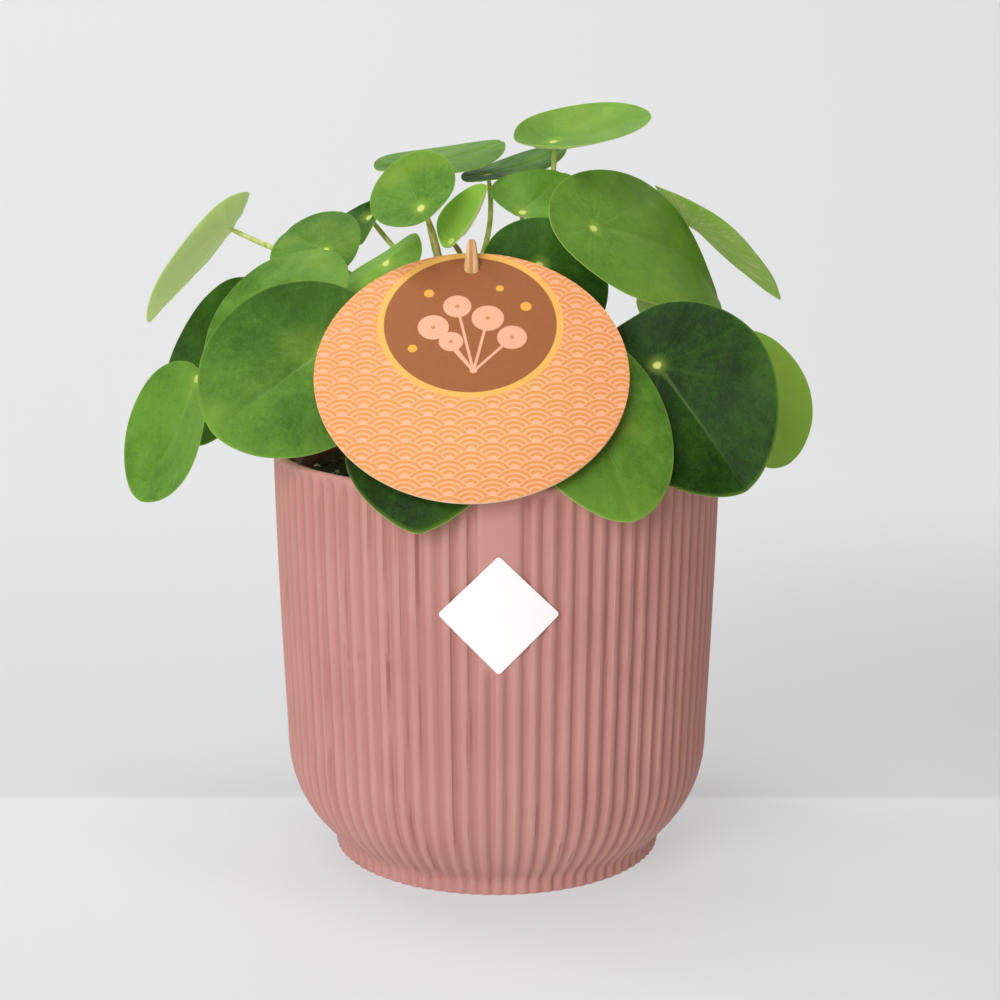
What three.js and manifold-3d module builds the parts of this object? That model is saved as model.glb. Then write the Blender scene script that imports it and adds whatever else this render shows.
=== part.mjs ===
// A round-leaved house plant, rooted in potting soil in a thin nursery pot, which stands loose in
// a ribbed cover pot. A round card on a wooden stick leans over the leaves at the front.
//
// Millimetres, +Z up. The origin is the middle of the cover pot's underside, and -Y is the front.

import * as THREE from 'three';
import { mergeVertices } from 'three/addons/utils/BufferGeometryUtils.js';
import Module from 'manifold-3d';

// ---------------------------------------------------------------- driving dimensions

const GAP = 0.3; // between pieces that rest on each other

const POT_HEIGHT = 130;
const RIM_RADIUS = 70; // over the crests of the ribs
const BELLY_RADIUS = 67.4;
const BELLY_HEIGHT = 41;
const FOOT_RADIUS = 52.4;
const FOOT_HEIGHT = 5.2;
const BELLY_CURVE = 2.7; // how quickly the wall swells over the foot
const FLARE_CURVE = 1.5; // how quickly it opens above the belly
const RIB_COUNT = 85;
const RIB_DEPTH = 1;
const RIB_SHOULDERS = [0.24, 0.76]; // where a crest begins and ends, as shares of the pitch
const FIRST_GROOVE = -5.7; // degrees from the front, the left edge of the plain panel
const PANEL_RIBS = 3;
const PANEL_BOTTOM = 78;
const POT_WALL = 1.6;
const POT_FLOOR = 4;
const POT_SIDES = 60; // round the inside

const LABEL_SIDE = 25;
const LABEL_THICK = 0.6;
const LABEL_HEIGHT = 92.8; // of its middle
const LABEL_CORNER = 1;
const LABEL_X = 0.7;

const LINER_RIM_RADIUS = 63;
const LINER_FOOT_RADIUS = 44;
const LINER_TOP = 125;
const LINER_WALL = 1.2;
const LINER_LIP = 1.5;
const LINER_LIP_HEIGHT = 7;
const LINER_SIDES = 40;
const DRAIN_COUNT = 5;
const DRAIN_RADIUS = 4;
const DRAIN_CIRCLE = 28; // radius of the ring that the drain holes stand on
const DRAIN_SIDES = 8;

const SOIL_TOP = 121.5;
const SOIL_BUMP = 1.2;
const SOIL_MOUND = 2.5; // round the trunk
const SOIL_RINGS = [1, 0.8, 0.55, 0.3];

const TRUNK_FOOT = [-6, 4, 82];
const TRUNK_TOP = [-13, 3, 166];
const TRUNK_RADIUS = 4.6;
const TRUNK_SWELL = 1; // wider at the foot
const TRUNK_SIDES = 10;
const FIRST_NODE = 0.3; // up the trunk, where the leaf stalks begin
const PETIOLE_RADIUS = 0.8;
const PETIOLE_SWELL = 0.4; // thicker where it leaves the trunk
const PETIOLE_SIDES = 5;
const STALK_STEPS = 9;
const STALK_GAP = 0.5; // between a leaf stalk's end and the underside of its blade

const BLADE_THICK = 0.9;
const BLADE_SECTORS = 18;
const BLADE_RINGS = [0.36, 0.7, 1];
const TIP_REACH = 0.012; // of the blunt point at the end of most blades, as a share of the length
const EDGE_WAVE = 0.6;
const DROOP_SPAN = 0.68; // share of the length over which "droop" is reached

const TAG_RADIUS = 46;
const TAG_THICK = 0.8;
const TAG_LEAN = 43.5; // degrees above the horizontal
const TAG_X = -7.2;
const TAG_LIFT = 4.4; // over the pot's rim, where two leaves hang out under the card
const TAG_BACK = 0.5; // of the whole card from where its lean puts it over the rim
const TAG_OVERHANG = 8.3; // of the card's lowest edge beyond the rim, seen from above
const TAG_SIDES = 64;

const STICK_X = -7.5;
const STICK_Y = -15.1;
const STICK_WIDTH = 4.8;
const STICK_DEPTH = 3.4;
const STICK_TIP = 195.3;
const STICK_FOOT = 66;
const STICK_TAPER = 10;
const STICK_TIP_WIDTH = 2.6;
const STICK_SIDES = 10;

// The leaves. "at" is where the leaf stalk joins the blade. "faces" is the way that the upper side
// looks: degrees round from the right (-90 is the front), then degrees above the horizontal.
// "turn" swings the tip to the right of straight downhill as one looks at the upper side. "size" is
// length by width, and "ahead" is the share of the length between the stalk and the tip. The margin
// stands "cup" above the stalk's dimple, each half rises by "fold", and the tip falls by "droop".
// "node" is how far up the trunk the stalk grows, from 0 to 1. "point" is how far the tip reaches
// past the round outline, as a share of the length. "bow" moves the two middle handles of the
// stalk's curve, to lead it past other blades.
const LEAVES = {
  left_large: {
    at: [-52, -25, 163], faces: [-93, 34], turn: -50, size: [64, 58], ahead: 0.65,
    cup: -1, fold: 2, droop: 1, node: 0.62,
  },
  right_large: {
    at: [48, -28, 159], faces: [-101, 36], turn: 38, size: [64, 55], ahead: 0.73,
    cup: 2, fold: 9, droop: 9, node: 0.6,
  },
  right_front: {
    at: [24, -44, 157], faces: [-76, 46], turn: 10, size: [74, 48], ahead: 0.63,
    cup: -2, fold: -1, droop: 5, node: 0.38, bow: [[0, 0, 0], [-6, -3, 2]],
  },
  right_behind: {
    at: [79, 6, 150], faces: [-50, 22], turn: 25, size: [46, 44], ahead: 0.68,
    cup: 1, fold: 1, droop: 2, node: 0.55,
  },
  right_upper: {
    at: [30, -2, 198], faces: [-58, 46], turn: 77, size: [71, 58], ahead: 0.78,
    cup: 0, fold: 0, droop: 15, node: 0.95, point: 0.035, bow: [[0, 0, 4], [12, 0, 12]],
  },
  right_high: {
    at: [64, 44, 196], faces: [13, 49], turn: 0, size: [58, 47], ahead: 0.70,
    cup: 1, fold: 3, droop: 0, node: 0.68, point: 0.035,
  },
  mid_right: {
    at: [8, 12, 202], faces: [-97, 61], turn: 153, size: [27, 33], ahead: 0.87,
    cup: 1, fold: 0, droop: 0, node: 0.9,
  },
  centre_dark: {
    at: [13, -8, 187], faces: [-82, 25], turn: 15, size: [44, 41], ahead: 0.62,
    cup: -2, fold: 1, droop: 2, node: 0.8,
  },
  top_right: {
    at: [18, 31, 223], faces: [-124, 71], turn: 127, size: [45, 42], ahead: 0.72,
    cup: 4, fold: 0, droop: 2, node: 0.95,
  },
  top_mid: {
    at: [-3, 46, 212], faces: [-133, 75], turn: 145, size: [37, 29], ahead: 0.75,
    cup: 0, fold: 0, droop: -2, node: 0.9,
  },
  top_back: {
    at: [-25, 35, 216], faces: [-120, 81], turn: 140, size: [44, 46], ahead: 0.66,
    cup: 0, fold: 0, droop: -3, node: 0.92,
  },
  young_round: {
    at: [-23, -14, 205], faces: [-117, 36], turn: -142, size: [27, 29], ahead: 0.76,
    cup: 1, fold: 0, droop: 0, node: 0.96,
  },
  young_folded: {
    at: [-14, -6, 194], faces: [-137, 34], turn: 148, size: [23, 17], ahead: 0.87,
    cup: 1, fold: 4, droop: -2, node: 1, point: 0.03,
  },
  left_mid: {
    at: [-55, 22, 189], faces: [-120, 46], turn: -112, size: [34, 32], ahead: 0.68,
    cup: -2, fold: 1, droop: 1, node: 0.85,
  },
  left_upper: {
    at: [-63, -1, 180], faces: [-128, 46], turn: -40, size: [56, 48], ahead: 0.68,
    cup: -4, fold: 1, droop: 4, node: 0.75, point: 0.035,
  },
  left_behind: {
    at: [-88, 23, 164], faces: [-130, 25], turn: -10, size: [59, 44], ahead: 0.68,
    cup: -3, fold: 1, droop: 3, node: 0.65, bow: [[-2, -5, 0], [-2, -5, 0]],
  },
  left_low: {
    at: [-94, -2, 151], faces: [-141, 15], turn: -14, size: [47, 44], ahead: 0.90,
    cup: 2, fold: 2, droop: -2, node: 0.6, point: 0.02, bow: [[0, -2, 0], [-4, -10, -6]],
  },
  left_high: {
    at: [-89, 42, 195], faces: [163, 40], turn: 8, size: [55, 37], ahead: 0.75,
    cup: 2, fold: 1, droop: 2, node: 0.78, point: 0.035, bow: [[-4, 0, -8], [4, 4, 8]],
  },
  left_inner: {
    at: [-35, 5, 187], faces: [-133, 44], turn: -34, size: [37, 22], ahead: 0.63,
    cup: 0, fold: -4, droop: -3, node: 0.88,
  },
  centre_small: {
    at: [-42, 42, 198], faces: [-140, 50], turn: 30, size: [20, 17], ahead: 0.68,
    cup: 1, fold: 3, droop: 1, node: 0.9,
  },
  front_low: {
    at: [-18, -43, 147], faces: [-116, 79], turn: 16, size: [48, 50], ahead: 0.75,
    cup: 0, fold: -5, droop: 15, node: 0.35, point: 0.035,
  },
  back_left: {
    at: [-54, 44, 162], faces: [135, 36], turn: 10, size: [50, 44], ahead: 0.68,
    cup: -3, fold: 1, droop: 4, node: 0.6,
  },
  back_mid: {
    at: [-20, 50, 174], faces: [102, 50], turn: -8, size: [48, 38], ahead: 0.68,
    cup: -2, fold: 1, droop: 4, node: 0.7,
  },
  back_right: {
    at: [15, 52, 168], faces: [70, 46], turn: 12, size: [44, 38], ahead: 0.68,
    cup: -2, fold: 1, droop: 4, node: 0.65,
  },
  back_low: {
    at: [-2, 75, 134], faces: [88, 14], turn: 6, size: [38, 36], ahead: 0.68,
    cup: -2, fold: 1, droop: 2, node: 0.4,
  },
  right_back: {
    at: [58, 32, 164], faces: [30, 36], turn: -10, size: [46, 42], ahead: 0.68,
    cup: -2, fold: 1, droop: 3, node: 0.7,
  },
};

// ---------------------------------------------------------------- materials

function paint(colour, roughness) {
  return new THREE.MeshStandardMaterial({ color: colour, roughness, metalness: 0 });
}

const PINK_PLASTIC = paint(0xc08880, 0.55);
const LINER_PLASTIC = paint(0x8a4a3a, 0.6);
const SOIL_MIX = paint(0x2a2320, 0.95);
const STEM_GREEN = paint(0x6f8a3a, 0.6);
const LEAF_GREEN = paint(0x3f7d35, 0.45);
const YOUNG_GREEN = paint(0x76ab3c, 0.45);
const CARD = paint(0xf6b07a, 0.6);
const WOOD = paint(0xdcb987, 0.7);
const WHITE_PAPER = paint(0xf8f8f6, 0.5);

// ---------------------------------------------------------------- solids

const wasm = await Module();
wasm.setup();

const point = (x, y, z) => new THREE.Vector3(x, y, z);
const polar = (radius, angle, z) => point(radius * Math.cos(angle), radius * Math.sin(angle), z);
const radians = THREE.MathUtils.degToRad;

/** A closed skin over a stack of rings. The first and the last ring may be single points. */
function skin(rings, mirrorFrom = Infinity) {
  const positions = [];
  const starts = [];
  for (const ring of rings) {
    starts.push(positions.length / 3);
    for (const p of ring) {
      positions.push(p.x, p.y, p.z);
    }
  }
  const index = [];
  for (let level = 0; level + 1 < rings.length; level += 1) {
    const count = Math.max(rings[level].length, rings[level + 1].length);
    for (let i = 0; i < count; i += 1) {
      const j = (i + 1) % count;
      const low = rings[level].length > 1 ? [starts[level] + i, starts[level] + j] : null;
      const high = rings[level + 1].length > 1 ? [starts[level + 1] + i, starts[level + 1] + j] : null;
      if (!low) {
        index.push(starts[level], high[1], high[0]);
      } else if (!high) {
        index.push(low[0], low[1], starts[level + 1]);
      } else if (level < mirrorFrom) {
        index.push(low[0], low[1], high[1], low[0], high[1], high[0]);
      } else {
        index.push(low[0], low[1], high[0], low[1], high[1], high[0]);
      }
    }
  }
  const geometry = new THREE.BufferGeometry();
  geometry.setAttribute('position', new THREE.Float32BufferAttribute(positions, 3));
  geometry.setIndex(index);
  return geometry;
}

/** A geometry as a solid that can be joined and cut. */
function solidOf(geometry) {
  const bare = geometry.clone();
  bare.deleteAttribute('normal');
  bare.deleteAttribute('uv');
  const merged = mergeVertices(bare, 1e-4);
  return new wasm.Manifold(new wasm.Mesh({
    numProp: 3,
    vertProperties: new Float32Array(merged.attributes.position.array),
    triVerts: new Uint32Array(merged.index.array),
  }));
}

/** A joined or cut solid as a geometry again. */
function geometryOf(solid) {
  const { vertProperties, triVerts } = solid.getMesh();
  const geometry = new THREE.BufferGeometry();
  geometry.setAttribute('position', new THREE.BufferAttribute(vertProperties, 3));
  geometry.setIndex(new THREE.BufferAttribute(triVerts, 1));
  return geometry;
}

function circle(radius, z, sides) {
  return Array.from({ length: sides }, (_, i) => polar(radius, (i / sides) * 2 * Math.PI, z));
}

/** A round body from a profile of [radius, z], closed by a point on the axis at each end. */
function turned(profile, sides) {
  const rings = profile.map(([radius, z]) => circle(radius, z, sides));
  const foot = point(0, 0, profile[0][1]);
  const head = point(0, 0, profile.at(-1)[1]);
  return skin([[foot], ...rings, [head]]);
}

/** A tube along a curve, thinner towards its end. */
function stalk(curve, startRadius, endRadius, sides, steps) {
  const rings = [];
  const frames = curve.computeFrenetFrames(steps);
  for (let step = 0; step <= steps; step += 1) {
    const centre = curve.getPointAt(step / steps);
    const radius = THREE.MathUtils.lerp(startRadius, endRadius, step / steps);
    const ring = [];
    for (let i = 0; i < sides; i += 1) {
      const angle = (i / sides) * 2 * Math.PI;
      ring.push(centre.clone()
        .addScaledVector(frames.normals[step], radius * Math.cos(angle))
        .addScaledVector(frames.binormals[step], radius * Math.sin(angle)));
    }
    rings.push(ring);
  }
  return skin([[curve.getPointAt(0)], ...rings, [curve.getPointAt(1)]]);
}

// ---------------------------------------------------------------- cover pot

/** Radius over the crests of the ribs at height z: a straight foot, a round belly, a slight flare. */
function crestRadius(z) {
  if (z <= FOOT_HEIGHT) {
    return FOOT_RADIUS;
  }
  if (z < BELLY_HEIGHT) {
    const rise = (z - FOOT_HEIGHT) / (BELLY_HEIGHT - FOOT_HEIGHT);
    return BELLY_RADIUS - (BELLY_RADIUS - FOOT_RADIUS) * (1 - rise) ** BELLY_CURVE;
  }
  const rise = (z - BELLY_HEIGHT) / (POT_HEIGHT - BELLY_HEIGHT);
  return BELLY_RADIUS + (RIM_RADIUS - BELLY_RADIUS) * (1 - (1 - rise) ** FLARE_CURVE);
}

/** One level of the ribbed wall: for each rib a groove and the two shoulders of its crest. */
function ribbedRing(z, inset) {
  const pitch = 360 / RIB_COUNT;
  const ring = [];
  for (let rib = 0; rib < RIB_COUNT; rib += 1) {
    const plain = z >= PANEL_BOTTOM && rib > 0 && rib < PANEL_RIBS;
    for (const share of [0, ...RIB_SHOULDERS]) {
      const depth = share === 0 && !plain ? RIB_DEPTH : 0;
      const angle = radians(FIRST_GROOVE + pitch * (rib + share) - 90);
      ring.push(polar(crestRadius(z) - inset - depth, angle, z));
    }
  }
  return ring;
}

/** The ribbed pot, with a smooth round inside and no hole in its floor. */
function coverPot() {
  const panelFade = 4;
  const lip = 1.5;
  const swell = [11, 16, 24];
  const heights = [0, FOOT_HEIGHT, ...swell, BELLY_HEIGHT, PANEL_BOTTOM - panelFade, PANEL_BOTTOM];
  const rings = heights.map((z) => ribbedRing(z, 0));
  rings.push(ribbedRing(POT_HEIGHT - lip, 0));
  rings.push(ribbedRing(POT_HEIGHT, lip / 3));
  const body = skin([[point(0, 0, 0)], ...rings, [point(0, 0, POT_HEIGHT)]]);
  const inside = (z) => crestRadius(z) - RIB_DEPTH - POT_WALL;
  const mouth = POT_HEIGHT + 1;
  const corner = 4;
  const hollow = [14, 22, 32, BELLY_HEIGHT, PANEL_BOTTOM];
  const cavity = turned([
    [FOOT_RADIUS - RIB_DEPTH - corner, POT_FLOOR],
    [inside(FOOT_HEIGHT), POT_FLOOR + corner],
    ...hollow.map((z) => [inside(z), z]),
    [inside(POT_HEIGHT), mouth],
  ], POT_SIDES);
  return geometryOf(solidOf(body).subtract(solidOf(cavity)));
}

// ---------------------------------------------------------------- blank label

/** A square with round corners, stood on one of them and pushed through the pot's front. */
function labelCutter() {
  const arm = LABEL_SIDE / 2 - LABEL_CORNER;
  const quarter = Math.PI / 2;
  const outline = new THREE.Shape();
  outline.absarc(arm, arm, LABEL_CORNER, 0, quarter);
  outline.absarc(-arm, arm, LABEL_CORNER, quarter, 2 * quarter);
  outline.absarc(-arm, -arm, LABEL_CORNER, 2 * quarter, 3 * quarter);
  outline.absarc(arm, -arm, LABEL_CORNER, 3 * quarter, 4 * quarter);
  const options = { depth: RIM_RADIUS, bevelEnabled: false, curveSegments: 4 };
  const cutter = new THREE.ExtrudeGeometry(outline, options);
  cutter.rotateZ(quarter / 2);
  cutter.rotateX(quarter);
  return cutter.translate(LABEL_X, -RIM_RADIUS / 2, LABEL_HEIGHT);
}

/** A thin blank sheet, bent round the crests of the ribs. */
function label() {
  const levels = [LABEL_HEIGHT - LABEL_SIDE, LABEL_HEIGHT, LABEL_HEIGHT + LABEL_SIDE];
  const sleeve = (offset) => turned(levels.map((z) => [crestRadius(z) + offset, z]), 2 * RIB_COUNT);
  const sheet = solidOf(sleeve(GAP + LABEL_THICK)).subtract(solidOf(sleeve(GAP)));
  return geometryOf(sheet.intersect(solidOf(labelCutter())));
}

// ---------------------------------------------------------------- nursery pot

const LINER_FOOT = POT_FLOOR + GAP;

function linerRadius(z) {
  const share = (z - LINER_FOOT) / (LINER_TOP - LINER_FOOT);
  return THREE.MathUtils.lerp(LINER_FOOT_RADIUS, LINER_RIM_RADIUS, share);
}

/** A plain tapered pot with a thicker lip and a ring of drain holes. */
function nurseryPot() {
  const lipFoot = LINER_TOP - LINER_LIP_HEIGHT;
  const outer = turned([
    [LINER_FOOT_RADIUS, LINER_FOOT],
    [linerRadius(lipFoot), lipFoot],
    [linerRadius(lipFoot) + LINER_LIP, lipFoot],
    [LINER_RIM_RADIUS + LINER_LIP, LINER_TOP],
  ], LINER_SIDES);
  const inner = turned([
    [linerRadius(LINER_FOOT) - LINER_WALL, LINER_FOOT + LINER_WALL],
    [linerRadius(LINER_TOP) - LINER_WALL, LINER_TOP + 1],
  ], LINER_SIDES);
  let pot = solidOf(outer).subtract(solidOf(inner));
  for (let i = 0; i < DRAIN_COUNT; i += 1) {
    const levels = [LINER_FOOT - 1, LINER_FOOT + LINER_WALL + 1];
    const hole = turned(levels.map((z) => [DRAIN_RADIUS, z]), DRAIN_SIDES);
    const spot = polar(DRAIN_CIRCLE, (i / DRAIN_COUNT) * 2 * Math.PI, 0);
    pot = pot.subtract(solidOf(hole.translate(spot.x, spot.y, 0)));
  }
  return geometryOf(pot);
}

// ---------------------------------------------------------------- soil

/** Lumps and hollows of the soil's surface, a little higher round the trunk. */
function soilHeight(x, y) {
  const coarse = Math.sin(x * 0.31 + 1.3) * Math.cos(y * 0.27);
  const fine = 0.6 * Math.sin(x * 0.13 - y * 0.22 + 2);
  const away = Math.hypot(x - TRUNK_FOOT[0], y - TRUNK_FOOT[1]) / 30;
  return SOIL_TOP + SOIL_BUMP * (coarse + fine) + SOIL_MOUND * Math.exp(-(away ** 2));
}

/** The filling of the nursery pot, with a hole for the trunk and one for the stick. */
function soil() {
  const floor = LINER_FOOT + LINER_WALL + GAP;
  const radiusAt = (z) => linerRadius(z) - LINER_WALL - GAP;
  const surface = SOIL_RINGS.map((share) => circle(share * radiusAt(SOIL_TOP - 2), 0, LINER_SIDES));
  for (const ring of surface) {
    ring.forEach((p) => p.setZ(soilHeight(p.x, p.y)));
  }
  const bottom = circle(radiusAt(floor), floor, LINER_SIDES);
  const crown = point(0, 0, soilHeight(0, 0));
  const body = skin([[point(0, 0, floor)], bottom, ...surface, [crown]]);
  return geometryOf(solidOf(body).subtract(solidOf(trunk(GAP))).subtract(solidOf(stick(GAP))));
}

// ---------------------------------------------------------------- trunk and leaf stalks

function trunkCurve() {
  const foot = point(...TRUNK_FOOT);
  const head = point(...TRUNK_TOP);
  const bend = foot.clone().lerp(head, 0.5).add(point(3, -1, 0));
  return new THREE.QuadraticBezierCurve3(foot, bend, head);
}

/** The bare trunk, "spare" larger all round for the hole that it stands in. */
function trunk(spare) {
  const radius = TRUNK_RADIUS + spare;
  return stalk(trunkCurve(), radius + TRUNK_SWELL, radius, TRUNK_SIDES, STALK_STEPS);
}

/** The blade's own frame: x to the tip, y across, z out of the upper side. */
function bladeFrame({ at, faces, turn }) {
  const [azimuth, lean] = faces.map(radians);
  const up = polar(Math.cos(lean), azimuth, Math.sin(lean));
  const downhill = polar(Math.sin(lean), azimuth, -Math.cos(lean));
  const tip = downhill.clone().applyAxisAngle(up, radians(turn));
  const across = up.clone().cross(tip);
  return new THREE.Matrix4().makeBasis(tip, across, up).setPosition(...at);
}

/** From a node on the trunk, up and out, and square to the underside of the blade. */
function petioleCurve(leaf) {
  const frame = bladeFrame(leaf);
  const start = trunkCurve().getPointAt(THREE.MathUtils.lerp(FIRST_NODE, 1, leaf.node));
  const under = point(0, 0, -BLADE_THICK - STALK_GAP).applyMatrix4(frame);
  const square = point(0, 0, 1).transformDirection(frame);
  const span = start.distanceTo(under);
  const out = under.clone().sub(start).setZ(0).normalize();
  const [low, high] = (leaf.bow ?? [[0, 0, 0], [0, 0, 0]]).map((shift) => point(...shift));
  const rise = start.clone().addScaledVector(out, 0.2 * span).add(point(0, 0, 0.35 * span)).add(low);
  const arrive = under.clone().addScaledVector(square, -0.35 * span).add(high);
  return new THREE.CubicBezierCurve3(start, rise, arrive, under);
}

function petiole(leaf) {
  const base = PETIOLE_RADIUS + PETIOLE_SWELL;
  return stalk(petioleCurve(leaf), base, PETIOLE_RADIUS, PETIOLE_SIDES, STALK_STEPS);
}

/** The trunk with every leaf stalk grown out of it, as one body. */
function stem() {
  let grown = solidOf(trunk(0));
  for (const leaf of Object.values(LEAVES)) {
    grown = grown.add(solidOf(petiole(leaf)));
  }
  return geometryOf(grown);
}

// ---------------------------------------------------------------- leaf blades

/** Height of the upper side over the blade's own plane, at x along and y across the midrib. */
function bladeHeight(leaf, share, x, y) {
  const [length, width] = leaf.size;
  const dome = leaf.cup * share ** 2;
  const halves = (leaf.fold * Math.abs(y)) / (width / 2);
  const fall = x > 0 ? leaf.droop * (x / (DROOP_SPAN * length)) ** 3 : 0;
  const wave = EDGE_WAVE * share ** 3 * Math.sin(3 * Math.atan2(y, x) + leaf.turn);
  return dome + halves - fall + wave;
}

/** A nearly round blade, carried a third of the way in from its base, with a slight tip. */
function blade(leaf) {
  const [length, width] = leaf.size;
  const middle = (leaf.ahead - 0.5) * length;
  const ringAt = (share, depth) => Array.from({ length: BLADE_SECTORS }, (_, i) => {
    const angle = (i / BLADE_SECTORS) * 2 * Math.PI;
    const tip = i === 0 ? (leaf.point ?? TIP_REACH) * length : 0;
    const x = share * (middle + (length / 2) * Math.cos(angle) + tip);
    const y = share * (width / 2) * Math.sin(angle);
    return point(x, y, bladeHeight(leaf, share, x, y) - depth);
  });
  const under = BLADE_RINGS.map((share) => ringAt(share, BLADE_THICK));
  const upper = BLADE_RINGS.toReversed().map((share) => ringAt(share, 0));
  const rings = [[point(0, 0, -BLADE_THICK)], ...under, ...upper, [point(0, 0, 0)]];
  const geometry = skin(rings, under.length + 1);
  return geometry.applyMatrix4(bladeFrame(leaf));
}

// ---------------------------------------------------------------- card and stick

/** A flat stick with a blunt tip, "spare" larger all round for the holes that it stands in. */
function stick(spare) {
  const body = turned([
    [STICK_WIDTH / 2 + spare, STICK_FOOT - spare],
    [STICK_WIDTH / 2 + spare, STICK_TIP - STICK_TAPER],
    [STICK_TIP_WIDTH / 2 + spare, STICK_TIP + spare],
  ], STICK_SIDES);
  body.scale(1, STICK_DEPTH / STICK_WIDTH, 1);
  return body.translate(STICK_X, STICK_Y, 0);
}

/** A round card that leans back over the pot's rim, with the stick through it near the top. */
function tag() {
  const lean = radians(TAG_LEAN);
  const rimZ = POT_HEIGHT + TAG_LIFT + TAG_THICK / Math.cos(lean);
  const up = TAG_RADIUS - TAG_OVERHANG / Math.cos(lean);
  const disc = turned([[TAG_RADIUS, -TAG_THICK], [TAG_RADIUS, 0]], TAG_SIDES);
  disc.rotateX(lean);
  disc.translate(TAG_X, up * Math.cos(lean) - RIM_RADIUS + TAG_BACK, rimZ + up * Math.sin(lean));
  return geometryOf(solidOf(disc).subtract(solidOf(stick(GAP))));
}

// ---------------------------------------------------------------- assembly

const group = new THREE.Group();

function place(name, geometry, material) {
  const mesh = new THREE.Mesh(geometry, material);
  mesh.name = name;
  group.add(mesh);
}

place('outer_pot', coverPot(), PINK_PLASTIC);
place('label', label(), WHITE_PAPER);
place('nursery_pot', nurseryPot(), LINER_PLASTIC);
place('soil', soil(), SOIL_MIX);
place('stem', stem(), STEM_GREEN);
for (const [name, leaf] of Object.entries(LEAVES)) {
  place(`leaf_${name}`, blade(leaf), name.startsWith('young') ? YOUNG_GREEN : LEAF_GREEN);
}
place('plant_tag', tag(), CARD);
place('tag_stick', stick(0), WOOD);

export default group;
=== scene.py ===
"""A round-leaved house plant in a ribbed cover pot, with a round card on a stick.

Metres, +Z up, the cover pot's foot on the floor at the origin, and -Y to the front.
"""

import math
import random

import bmesh
import bpy
from mathutils import Matrix, Vector, noise


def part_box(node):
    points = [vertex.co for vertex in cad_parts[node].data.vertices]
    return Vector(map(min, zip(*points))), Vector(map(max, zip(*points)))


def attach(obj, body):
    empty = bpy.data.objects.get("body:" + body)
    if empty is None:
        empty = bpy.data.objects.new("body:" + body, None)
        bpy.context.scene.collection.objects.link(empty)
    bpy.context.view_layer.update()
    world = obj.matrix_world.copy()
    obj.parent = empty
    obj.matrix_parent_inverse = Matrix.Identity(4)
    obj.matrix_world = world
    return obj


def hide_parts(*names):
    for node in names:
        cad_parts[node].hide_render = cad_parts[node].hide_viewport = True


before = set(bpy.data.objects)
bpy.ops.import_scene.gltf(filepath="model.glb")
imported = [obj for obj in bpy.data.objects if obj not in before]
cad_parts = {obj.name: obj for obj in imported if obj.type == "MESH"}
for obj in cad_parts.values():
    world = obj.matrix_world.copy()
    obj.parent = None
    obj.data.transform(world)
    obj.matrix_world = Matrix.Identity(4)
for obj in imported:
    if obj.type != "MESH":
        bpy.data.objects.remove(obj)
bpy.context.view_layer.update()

MM = 0.001

# ---------------------------------------------------------------------------------------------
# Cover pot. One moulded shell of dusty pink plastic, matt with a faint sheen. The wall carries
# upright ribs with a narrow groove between each two, and a plain panel at the front under the
# rim. It stands on its own foot.


def only(*objects):
    """Leaves just these objects selected, with the first one active."""
    if bpy.context.mode != "OBJECT":
        bpy.ops.object.mode_set(mode="OBJECT")
    bpy.ops.object.select_all(action="DESELECT")
    for item in objects:
        item.select_set(True)
    bpy.context.view_layer.objects.active = objects[0]


def start_piece(name, add_primitive, **settings):
    """Adds a primitive with nothing else selected, and names it."""
    bpy.ops.object.select_all(action="DESELECT")
    add_primitive(**settings)
    piece = bpy.context.object
    piece.name = name
    piece.data.name = name
    return piece


def edit(piece):
    only(piece)
    bpy.ops.object.mode_set(mode="EDIT")
    bpy.ops.mesh.select_all(action="SELECT")


def leave_edit():
    bpy.ops.object.mode_set(mode="OBJECT")


def pick(piece, kind, test):
    """In edit mode, selects just the edges or the faces that pass the test."""
    mesh = bmesh.from_edit_mesh(piece.data)
    bpy.ops.mesh.select_all(action="DESELECT")
    bpy.ops.mesh.select_mode(type={"edges": "EDGE", "faces": "FACE"}[kind])
    for part in getattr(mesh, kind):
        if test(part):
            part.select_set(True)
    mesh.select_flush_mode()
    bmesh.update_edit_mesh(piece.data)


def finish_with(piece, kind, **settings):
    """Puts one modifier on a piece and applies it."""
    only(piece)
    modifier = piece.modifiers.new(kind.title(), kind)
    for key, value in settings.items():
        setattr(modifier, key, value)
    bpy.ops.object.modifier_apply(modifier=modifier.name)


def smooth(piece, angle):
    """Shades a piece smooth but for edges sharper than this many degrees."""
    only(piece)
    bpy.ops.object.shade_smooth_by_angle(angle=math.radians(angle))


def move_points(piece, rule):
    """Moves every vertex of a mesh to where the rule puts it."""
    for vertex in piece.data.vertices:
        vertex.co = rule(vertex.co.copy())
    piece.data.update()


def thrown(name, profile, sides):
    """A round vessel drawn up ring by ring through (radius, height), and closed at both ends."""
    radius, height = profile[0]
    piece = start_piece(
        name, bpy.ops.mesh.primitive_circle_add,
        vertices=sides, radius=radius, location=(0, 0, height), fill_type="NOTHING",
    )
    bpy.ops.object.transform_apply(location=True, rotation=True, scale=True)
    edit(piece)
    bpy.ops.mesh.select_mode(type="EDGE")
    for next_radius, next_height in profile[1:]:
        bpy.ops.mesh.extrude_edges_move(
            TRANSFORM_OT_translate={"value": (0, 0, next_height - height)}
        )
        grow = next_radius / radius
        bpy.ops.transform.resize(value=(grow, grow, 1), center_override=(0, 0, 0))
        radius, height = next_radius, next_height
    bpy.ops.mesh.fill()
    pick(piece, "edges", lambda e: e.is_boundary)
    bpy.ops.mesh.fill()
    bpy.ops.mesh.select_all(action="SELECT")
    bpy.ops.mesh.normals_make_consistent(inside=False)
    leave_edit()
    return piece


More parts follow.
